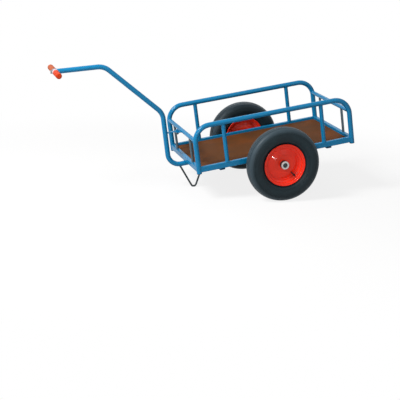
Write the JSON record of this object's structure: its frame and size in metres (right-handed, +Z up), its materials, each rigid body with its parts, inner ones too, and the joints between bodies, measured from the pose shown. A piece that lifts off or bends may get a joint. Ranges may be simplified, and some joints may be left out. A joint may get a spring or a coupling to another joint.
{
  "type": "two-wheeled hand cart",
  "caption": "Hand cart with a tubular railed bed, board deck, air-filled tyres on dished rims and a bent drawbar with a cross handle, parked on a bent-rod foot.",
  "frame": {"origin": "on the floor, under the middle of the cart's length and width", "axes": "+X forward along the drawbar towards the handle, +Y to the cart's left, +Z up from the floor"},
  "size_m": [1.6105, 0.788, 0.6908],
  "materials": {
    "blue_paint": "powder coat, semi-gloss",
    "red_paint": "gloss paint",
    "tyre_rubber": "moulded rubber",
    "zinc_plate": "bright zinc plate",
    "film_board": "film-faced plywood, smooth brown film",
    "dark_steel": "dark drawn steel",
    "red_plastic": "moulded plastic",
    "black_plastic": "moulded plastic",
    "black_rubber": "moulded rubber"
  },
  "bodies": {
    "frame": {"side_hoop_left": "blue_paint", "side_rail_left": "blue_paint", "axle_plate_left": "blue_paint", "axle_clip_left": "dark_steel", "grip_left": "red_plastic", "side_hoop_right": "blue_paint", "side_rail_right": "blue_paint", "axle_plate_right": "blue_paint", "axle_clip_right": "dark_steel", "grip_right": "red_plastic", "end_rail_lower_front": "blue_paint", "end_rail_upper_front": "blue_paint", "cross_member_front": "blue_paint", "side_post_front_left": "blue_paint", "end_rod_front_left": "zinc_plate", "leg_plug_front_left": "black_plastic", "side_post_front_right": "blue_paint", "end_rod_front_right": "zinc_plate", "leg_plug_front_right": "black_plastic", "end_rail_lower_rear": "blue_paint", "end_rail_upper_rear": "blue_paint", "cross_member_rear": "blue_paint", "side_post_rear_left": "blue_paint", "end_rod_rear_left": "zinc_plate", "leg_plug_rear_left": "black_plastic", "side_post_rear_right": "blue_paint", "end_rod_rear_right": "zinc_plate", "leg_plug_rear_right": "black_plastic", "deck_board": "film_board", "axle": "dark_steel", "foot": "dark_steel", "drawbar": "blue_paint", "drawbar_strut": "blue_paint", "rail_lug": "blue_paint", "handle_bar": "blue_paint", "handle_ring": "zinc_plate"},
    "wheel_left": {"tyre_left": "tyre_rubber", "rim_left": "red_paint", "hub_left": "zinc_plate", "valve_left": "black_rubber"},
    "wheel_right": {"tyre_right": "tyre_rubber", "rim_right": "red_paint", "hub_right": "zinc_plate", "valve_right": "black_rubber"}
  },
  "joints": [
    {"name": "wheel_left_spin", "type": "hinge", "parent": "frame", "child": "wheel_left", "pos_m": [-0.3708, 0.345, 0.2], "axis": [0, 1, 0], "continuous": true},
    {"name": "wheel_right_spin", "type": "hinge", "parent": "frame", "child": "wheel_right", "pos_m": [-0.3708, -0.345, 0.2], "axis": [0, 1, 0], "continuous": true}
  ]
}
